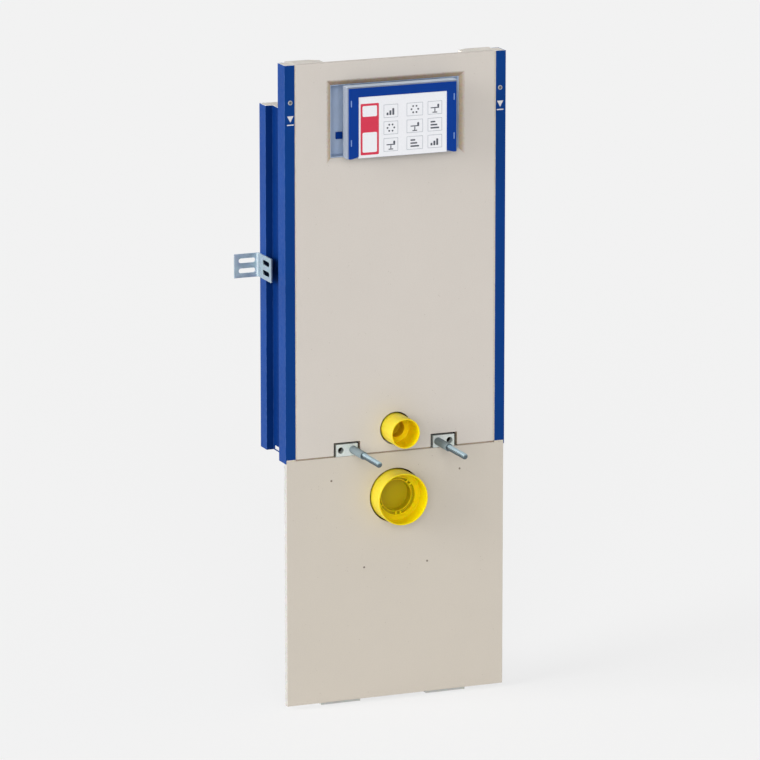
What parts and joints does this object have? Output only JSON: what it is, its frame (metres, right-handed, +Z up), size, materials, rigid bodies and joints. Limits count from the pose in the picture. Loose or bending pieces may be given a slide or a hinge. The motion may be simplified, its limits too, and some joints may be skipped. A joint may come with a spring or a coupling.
{
  "type": "wall hung toilet frame",
  "caption": "Prewall block frame for a wall hung toilet: blue steel channels, cement boards, concealed cistern, capped drain and flush pipes, fixing rods, feet and wall brackets.",
  "frame": {"origin": "on the floor, at the middle of the frame's width, in the plane of the finished front", "axes": "+X to the right seen from the room, +Y from the room to the wall, +Z up"},
  "size_m": [0.569, 0.276, 1.285],
  "materials": {
    "blue_steel": "satin",
    "cement_board": "matte",
    "light_concrete": "matte",
    "zinc_steel": "satin",
    "yellow_plastic": "satin",
    "black_plastic": "satin",
    "grey_plastic": "satin",
    "blue_plastic": "satin",
    "printed_card": "satin",
    "grey_sleeve": "matte",
    "brass": "satin"
  },
  "bodies": {
    "root": {"cistern_lid": "black_plastic", "cistern_shelf": "zinc_steel", "cistern_tank": "black_plastic", "collar_plug": "blue_plastic", "core_panel": "light_concrete", "cover_card": "printed_card", "cover_frame": "blue_plastic", "cover_tray": "grey_plastic", "drain_adaptor": "black_plastic", "drain_bend": "black_plastic", "drain_cap": "yellow_plastic", "drain_clip": "zinc_steel", "fixing_rail": "zinc_steel", "flush_cap": "yellow_plastic", "flush_nut": "grey_plastic", "flush_pipe": "grey_plastic", "left_core_post": "light_concrete", "left_fixing_rod": "zinc_steel", "left_foot_plate": "zinc_steel", "left_foot_tube": "zinc_steel", "left_leg": "blue_steel", "left_rod_plate": "zinc_steel", "left_rod_sleeve": "grey_sleeve", "left_side_channel": "blue_steel", "left_wall_bracket": "zinc_steel", "leg_brace": "blue_steel", "lower_board": "cement_board", "lower_rear_tie": "blue_steel", "right_core_post": "light_concrete", "right_fixing_rod": "zinc_steel", "right_foot_plate": "zinc_steel", "right_foot_tube": "zinc_steel", "right_leg": "blue_steel", "right_rod_plate": "zinc_steel", "right_rod_sleeve": "grey_sleeve", "right_side_channel": "blue_steel", "right_wall_bracket": "zinc_steel", "service_collar": "grey_plastic", "service_dome": "black_plastic", "upper_board": "cement_board", "upper_rear_tie": "blue_steel", "water_inlet": "brass"}
  },
  "joints": []
}
